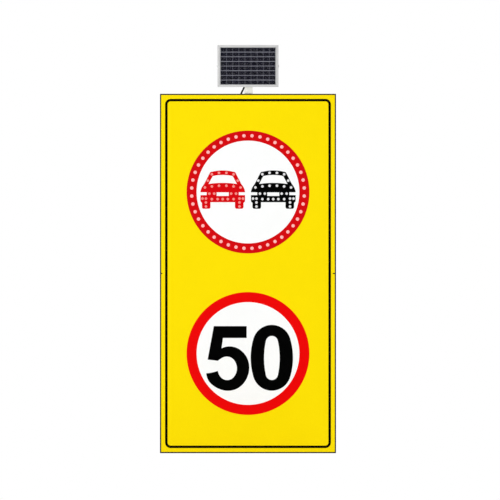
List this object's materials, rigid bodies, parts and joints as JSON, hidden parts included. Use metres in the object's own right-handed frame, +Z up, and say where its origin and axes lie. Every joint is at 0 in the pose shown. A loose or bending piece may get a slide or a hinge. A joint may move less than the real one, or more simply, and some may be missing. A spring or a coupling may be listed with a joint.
{
  "type": "solar speed limit sign",
  "caption": "Yellow sign board with a lit no-overtaking disc above a speed limit disc, a small solar panel on top, and slotted rails and a control box behind.",
  "frame": {"origin": "middle of the board, in the plane of the rear rails' webs where the clamps meet them", "axes": "+Z up, the face looks towards -Y, +Y to the rear where the uprights stand, +X to the right in the picture"},
  "size_m": [0.86, 0.0902, 1.994],
  "materials": {
    "tray_black": "satin",
    "film_yellow": "retroreflective sheeting, satin",
    "film_white": "retroreflective sheeting, satin",
    "film_red": "retroreflective sheeting, satin",
    "film_black": "satin",
    "lens_clear": "clear, glossy",
    "circuit_board": "satin",
    "seal_rubber": "matte",
    "zinc_steel": "zinc plated, satin",
    "cover_aluminium": "mill finish, satin",
    "box_grey": "light grain",
    "battery_dark": "satin",
    "strap_black": "woven",
    "controller_aluminium": "anodised, satin",
    "cable_black": "satin",
    "gland_black": "satin",
    "frame_aluminium": "anodised, satin",
    "panel_glass": "clear, smooth",
    "cell_dark": "dark, glossy",
    "backsheet_white": "satin",
    "bracket_steel": "galvanised, satin"
  },
  "bodies": {
    "root": {"upper_board": "tray_black", "lower_board": "tray_black", "tie_plates": "tray_black", "face_film": "film_yellow", "upper_white_disc": "film_white", "lower_white_disc": "film_white", "upper_red_ring": "film_red", "lower_red_ring": "film_red", "red_car": "film_red", "border_line": "film_black", "black_car": "film_black", "digit_five": "film_black", "digit_zero": "film_black", "ring_lights": "lens_clear", "red_car_lights": "lens_clear", "black_car_lights": "lens_clear", "ring_light_boards": "circuit_board", "car_light_boards": "circuit_board", "board_pads": "seal_rubber", "cover_gasket": "seal_rubber", "box_gasket": "seal_rubber", "top_rail": "zinc_steel", "upper_middle_rail": "zinc_steel", "lower_middle_rail": "zinc_steel", "bottom_rail": "zinc_steel", "tie_bolts": "zinc_steel", "rail_nuts": "zinc_steel", "cover_screws": "zinc_steel", "box_screws": "zinc_steel", "bracket_bolts": "zinc_steel", "cable_clips": "zinc_steel", "light_cover": "cover_aluminium", "control_box": "box_grey", "box_lid": "box_grey", "battery": "battery_dark", "battery_strap": "strap_black", "charge_controller": "controller_aluminium", "feed_cable": "cable_black", "solar_cable": "cable_black", "box_gland": "gland_black", "junction_gland": "gland_black", "junction_box": "gland_black", "junction_cover": "gland_black", "solar_frame": "frame_aluminium", "solar_glass": "panel_glass", "solar_cells": "cell_dark", "solar_backsheet": "backsheet_white", "solar_bracket": "bracket_steel"}
  },
  "joints": []
}
